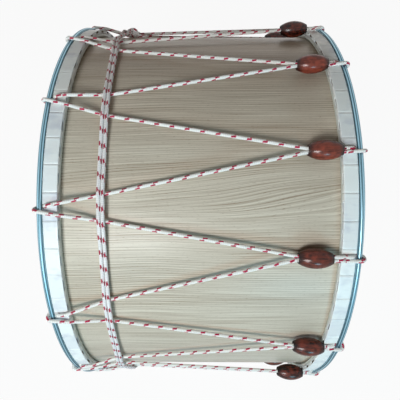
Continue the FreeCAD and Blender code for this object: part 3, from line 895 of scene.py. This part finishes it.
def tab_section():
    """The tab's outer face and inner face in the plane of the axis, row by row, and the share of the
    band's width at each row."""
    top = TAB_OUTER
    thick = TAB_THICKNESS
    inner_face = HOOP_FACE_AXIAL
    outer_face = TAB_END
    slit_top = top - SLIT_DROP
    slit_bottom = slit_top - SLIT_HEIGHT
    inner_top = top - thick - 0.12
    outer, inner = [], []
    for radius in (top - TAB_INNER_LIP, slit_bottom - 0.35, slit_bottom, slit_top):
        outer.append((inner_face, radius))
        inner.append((inner_face + thick, min(radius, inner_top)))
    for part in np.linspace(0.15, 1, 6):
        out = 1 - math.cos(part * math.pi / 2)
        down = 1 - math.sin(part * math.pi / 2)
        outer.append((inner_face + INNER_BEND * out, top - INNER_BEND * down))
        inner.append((inner_face + thick + SKIN_BEND * out, top - thick - SKIN_BEND * down))
    for part in np.linspace(0, 1, 15)[1:-1]:
        axial = inner_face + INNER_BEND + part * (outer_face - inner_face - INNER_BEND - OUTER_BEND)
        outer.append((axial, top))
        inner.append((min(max(axial, inner_face + thick + 0.15), outer_face - thick - 0.15),
                      top - thick))
    for part in np.linspace(0, 1, 7):
        out = math.sin(part * math.pi / 2)
        down = 1 - math.cos(part * math.pi / 2)
        outer.append((outer_face - OUTER_BEND + OUTER_BEND * out, top - OUTER_BEND * down))
        inner.append((outer_face - thick - SKIN_BEND + SKIN_BEND * out,
                      top - thick - SKIN_BEND * down))
    for part in np.linspace(0, 1, 7)[1:]:
        radius = top - OUTER_BEND - part * (TAB_OUTER_LIP - OUTER_BEND)
        outer.append((outer_face, radius))
        inner.append((outer_face - thick, min(radius, inner_top)))
    outer = np.array(outer)
    steps = lengths_along(outer)
    return outer, np.array(inner), steps / steps[-1]


def slit_half(lateral):
    """Half the slit's height at a place along it."""
    reach = SLIT_LENGTH / 2 - SLIT_HEIGHT / 2
    beyond = np.clip((np.abs(lateral) - reach) / (SLIT_HEIGHT / 2), 0, 1)
    return SLIT_HEIGHT / 2 * np.maximum(np.sqrt(1 - beyond ** 2), 0.16)


def dent_depth(lateral):
    """How far inside the diving cord's centre line the tab's face lies, at a distance from it."""
    round_reach = 0.93 * DENT_REACH
    close = np.clip(np.abs(lateral), 0, round_reach)
    depth = np.sqrt(DENT_REACH ** 2 - close ** 2)
    return depth - np.maximum(np.abs(lateral) - round_reach, 0) * 7.0


def dented(axial, radius, lateral, hook_lateral, side):
    """The tab's points, pushed in where the diving leg of a loop lies on them."""
    _, _, _, foot, top, _ = loop_corners()
    offsets = leg_offsets(side)
    lateral_foot = math.radians(offsets[3]) * CORD_BAND_RADIUS
    lateral_top = math.radians(offsets[4]) * CORD_BAND_RADIUS
    share = np.clip((axial - top[0]) / (foot[0] - top[0]), 0, 1)
    line = hook_lateral + lateral_top + (lateral_foot - lateral_top) * share
    dive = math.radians(CORD_DIVE_ANGLE)
    inward = np.array([-math.sin(dive), -math.cos(dive)])
    depth = (axial - top[0]) * inward[0] + (radius - top[1]) * inward[1]
    push = np.maximum(dent_depth(lateral - line) - depth, 0)
    push = np.where(axial > top[0] - 4.0, push, 0)
    return axial + push * inward[0], radius + push * inward[1]


def tab_hooks(side):
    """The tabs that a loop passes over, and how far along each the loop is from its middle."""
    share = 360.0 / TAB_COUNT
    hooks = {}
    for angle in hook_angles(side):
        number = round(angle / share)
        hooks[number % TAB_COUNT] = math.radians(angle - number * share) * TAB_OUTER
    return hooks


def tab_columns(hook, side):
    """Where along a tab its columns of points are: closer at its edges, its slit's ends and a loop."""
    shares = [0, 0.012, 0.03, 0.06, 0.12, 0.2, 0.3]
    columns = [(-1 + value) * TAB_HALF for value in shares]
    columns += [(1 - value) * TAB_HALF for value in shares]
    columns += list(np.linspace(-0.55, 0.55, 9) * TAB_HALF)
    slit_columns = [SLIT_LENGTH / 2 - value for value in (0, 0.15, 0.5, 1.1)]
    columns += slit_columns + [-value for value in slit_columns]
    if hook is not None:
        middle = hook + math.radians(leg_offsets(side)[4]) * CORD_BAND_RADIUS
        columns += [middle + value for value in np.arange(-3.6, 3.61, 0.3)]
    kept = [min(columns)]
    for value in sorted(columns):
        if value - kept[-1] > 0.09:
            kept.append(value)
    return np.array(kept)


def tab_points(number, hook, side, columns, lift, slant, bulge_at):
    """One tab's points, column by column, first the outer face's and then the inner one's. Its
    edges roll down, one beside a ridge, and it is a little hollow."""
    outer, inner, across = tab_section()
    gap = np.where(across < SEAM_END, SEAM, SEAM * np.clip((0.90 - across) / 0.06, 0.12, 1.0))
    open_here = np.clip((0.93 - across) / 0.08, 0, 1)
    middle_slit = TAB_OUTER - SLIT_DROP - SLIT_HEIGHT / 2
    on_lip = np.arange(len(outer)) < LIP_ROWS
    points = []
    for section in (outer, inner):
        for lateral in columns:
            where = lateral / TAB_HALF
            roll_high = math.exp(-((1 - where) / 0.05) ** 2)
            roll_low = math.exp(-((1 + where) / 0.05) ** 2)
            ridge = math.exp(-((1 - where - 0.11) / 0.07) ** 2)
            drop = (0.15 * roll_high + 0.36 * roll_low - 0.3 * ridge) * open_here
            hollow = 0.12 * math.exp(-((where - bulge_at) / 0.35) ** 2)
            lateral_row = lateral * (TAB_HALF - gap / 2) / TAB_HALF
            radius = section[:, 1].copy()
            half_slit = slit_half(lateral)
            radius[2] = middle_slit - half_slit
            radius[3] = middle_slit + half_slit
            if section is inner:
                radius[3] = min(radius[3], inner[3, 1])
                radius[2] = min(radius[2], radius[3] - 0.1)
            top_part = np.clip((radius - (TAB_OUTER - 3.0)) / 3.0, 0, 1)
            radius = radius - (drop + hollow - lift - slant * where * 0.5) * top_part
            axial = section[:, 0] + np.where(on_lip, 0.25 * (roll_high + roll_low), 0)
            if hook is not None:
                axial, radius = dented(axial, radius, lateral_row, hook, side)
            angles = math.radians(number * 360.0 / TAB_COUNT) + lateral_row / TAB_OUTER
            points += zip(axial, radius * np.sin(angles), radius * np.cos(angles))
    return points


def tab_faces(columns, rows, base):
    """One tab's faces: its two sides, its rim and its slit's walls. A corner is (0 outer or 1 inner,
    column, row), and base is the number of the tab's first point."""
    count = len(columns)
    last_column = count - 1
    last_row = rows - 1
    faces = []

    def quad(*corners):
        faces.append(tuple(base + (face * count + column) * rows + row for face, column, row in corners))

    in_slit = [abs(low + high) / 2 < SLIT_LENGTH / 2 for low, high in zip(columns, columns[1:])]
    for c in range(last_column):
        d = c + 1
        for r in range(last_row):
            if r == 2 and in_slit[c]:
                continue
            quad((0, c, r), (0, c, r + 1), (0, d, r + 1), (0, d, r))
            quad((1, c, r), (1, d, r), (1, d, r + 1), (1, c, r + 1))
        quad((0, c, 0), (0, d, 0), (1, d, 0), (1, c, 0))
        quad((0, c, last_row), (1, c, last_row), (1, d, last_row), (0, d, last_row))
        if in_slit[c]:
            quad((0, c, 2), (1, c, 2), (1, d, 2), (0, d, 2))
            quad((0, c, 3), (0, d, 3), (1, d, 3), (1, c, 3))
            if not in_slit[c - 1]:
                quad((0, c, 2), (0, c, 3), (1, c, 3), (1, c, 2))
            if not in_slit[d]:
                quad((0, d, 2), (1, d, 2), (1, d, 3), (0, d, 3))
    for r in range(last_row):
        quad((0, 0, r), (1, 0, r), (1, 0, r + 1), (0, 0, r + 1))
        quad((0, last_column, r), (0, last_column, r + 1), (1, last_column, r + 1), (1, last_column, r))
    return faces


def make_tabs(side):
    rows = len(tab_section()[0])
    hooks = tab_hooks(side)
    points, faces, tones = [], [], []
    for number in range(TAB_COUNT):
        hook = hooks.get(number)
        columns = tab_columns(hook, side)
        lift = rng.uniform(-0.06, 0.06)
        slant = rng.uniform(-0.12, 0.12)
        tone = float(np.clip(rng.normal(0.06, 0.11), -0.1, 0.4))
        bulge_at = rng.uniform(-0.4, 0.4)
        faces += tab_faces(columns, rows, len(points))
        points += tab_points(number, hook, side, columns, lift, slant, bulge_at)
        tones += [tone] * (len(points) - len(tones))
    points = np.array(points)
    if side == "left":
        points = points * MIRRORED
        faces = [tuple(reversed(face)) for face in faces]
    piece = new_object("skin_tabs_" + side, points, faces, tones=tones)
    dress(piece, hide_tabs, "skin_tabs", side + "_hoop_tabs")
    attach(piece, "drum")


for side in ("left", "right"):
    make_tabs(side)

# ---- floor, light and camera ----

FLOOR_HALF = 3.0
FLOOR_STEPS = 6
FLOOR_DROP = 0.0005
FLOOR_WHITE = 0.93          # share of plain white where it is seen; the rest keeps the shadow
WORLD_LIGHT = 0.05
WHITE = (1, 1, 1, 1)
SHEEN_BLUE = (0.34, 0.80, 1.0)
CAMERA_LENS = 30.925
CAMERA_LEAN = 10.7          # degrees from straight down, towards -Y
CAMERA_AIM = (-0.245, -0.203, 0.103)    # yaw, pitch and roll from there, in degrees
CAMERA_PLACE = Vector((0.00098, -0.10762, AXIS_Z + 0.58024))


def seen_directly(tree):
    """1 for what the camera sees, also in glossy and clear surfaces, and 0 for light on objects."""
    path = tree.nodes.new("ShaderNodeLightPath")
    seen = path.outputs["Is Camera Ray"]
    for ray in ("Is Glossy Ray", "Is Transmission Ray"):
        either = tree.nodes.new("ShaderNodeMath")
        either.operation = "MAXIMUM"
        tree.links.new(seen, either.inputs[0])
        tree.links.new(path.outputs[ray], either.inputs[1])
        seen = either.outputs[0]
    return seen


def mix_shaders(tree, factor, first, second, target):
    mixed = tree.nodes.new("ShaderNodeMixShader")
    for socket, value in zip(mixed.inputs, (factor, first, second)):
        tree.links.new(value, socket)
    tree.links.new(mixed.outputs[0], target.inputs["Surface"])


def studio_floor():
    """A pale floor that is seen as nearly white, with a trace of the object's shadow."""
    mesh = bpy.data.meshes.new("studio_floor")
    height = cad_box[0].z - FLOOR_DROP
    places = np.linspace(-FLOOR_HALF, FLOOR_HALF, FLOOR_STEPS + 1)
    row = FLOOR_STEPS + 1
    quads = [(i * row + j, (i + 1) * row + j, (i + 1) * row + j + 1, i * row + j + 1)
             for i in range(FLOOR_STEPS) for j in range(FLOOR_STEPS)]
    mesh.from_pydata([(x, y, height) for x in places for y in places], [], quads)
    floor = in_scene("studio_floor", mesh)
    finish = Finish("studio_floor_white", Base_Color=linear(240, 240, 240), Roughness=0.9,
                    Specular_IOR_Level=0.1)
    glow = finish.node("ShaderNodeEmission", [("Color", WHITE)])
    share = finish.times(seen_directly(finish.tree), FLOOR_WHITE)
    mix_shaders(finish.tree, share, finish.shader.outputs[0], glow.outputs[0],
                finish.tree.nodes["Material Output"])
    mesh.materials.append(finish.material)


def studio_world():
    """Weak warm light from all round, seen as white."""
    world = bpy.data.worlds.new("studio_world")
    bpy.context.scene.world = world
    world.use_nodes = True
    tree = world.node_tree
    lit = tree.nodes["Background"]
    lit.inputs["Color"].default_value = (1.0, 0.74, 0.45, 1)
    lit.inputs["Strength"].default_value = WORLD_LIGHT
    white = tree.nodes.new("ShaderNodeBackground")
    white.inputs["Color"].default_value = WHITE
    white.inputs["Strength"].default_value = 1.0
    mix_shaders(tree, seen_directly(tree), lit.outputs[0], white.outputs[0],
                tree.nodes["World Output"])


def area_light(name, place, size, power, colour):
    """A lamp that points at the drum's middle."""
    data = bpy.data.lights.new(name, "AREA")
    data.shape = "RECTANGLE"
    data.size, data.size_y = size
    data.energy = power
    data.color = colour
    lamp = in_scene(name, data)
    lamp.location = place
    lamp.rotation_mode = "QUATERNION"
    lamp.rotation_quaternion = (drum_middle - Vector(place)).to_track_quat("-Z", "Y")


drum_middle = Vector((0.0, 0.0, AXIS_Z))
studio_floor()
studio_world()
area_light("back_light", (0.0, 1.5, 0.12), (1.4, 0.16), 0.8, (1.0, 0.86, 0.7))
for name, x in (("left_light", -1.9), ("right_light", 1.9)):
    area_light(name, (x, 0.1, 0.45), (0.9, 0.9), 7.0, (0.94, 0.98, 1.0))
area_light("key_light", (-0.25, -0.55, 1.22), (0.3, 0.3), 6.2, (0.94, 0.98, 0.97))
area_light("soft_light", (-0.1, -1.75, 1.45), (1.6, 1.3), 2.0, (0.80, 0.94, 1.0))
area_light("sheen_light_left", (-0.50, -1.6, AXIS_Z + 1.27), (0.3, 0.3), 1.9, SHEEN_BLUE)
area_light("sheen_light_right", (0.53, -1.6, AXIS_Z + 0.905), (0.42, 0.42), 6.2, SHEEN_BLUE)


def studio_camera():
    """The camera stands almost over the drum, leaning a little towards -Y."""
    data = bpy.data.cameras.new("studio_camera")
    data.sensor_width = 36.0
    data.lens = CAMERA_LENS
    data.clip_start = 0.01
    data.clip_end = 50.0
    camera = in_scene("studio_camera", data)
    lean = math.radians(CAMERA_LEAN)
    look = Vector((0.0, math.sin(lean), -math.cos(lean)))
    right = Vector((1.0, 0.0, 0.0))
    up = Vector((0.0, math.cos(lean), math.sin(lean)))
    yaw, pitch, roll = (math.radians(value) for value in CAMERA_AIM)
    level = right * math.sin(yaw) + look * math.cos(yaw)
    forward = level * math.cos(pitch) + up * math.sin(pitch)
    side = (right * math.cos(yaw) - look * math.sin(yaw)).normalized()
    top = side.cross(forward).normalized()
    side_rolled = side * math.cos(roll) + top * math.sin(roll)
    top_rolled = top * math.cos(roll) - side * math.sin(roll)
    turn = Matrix((side_rolled, top_rolled, -forward)).transposed()
    camera.matrix_world = Matrix.Translation(CAMERA_PLACE) @ turn.to_4x4()
    bpy.context.scene.camera = camera


studio_camera()
bpy.context.scene.view_settings.view_transform = "Standard"
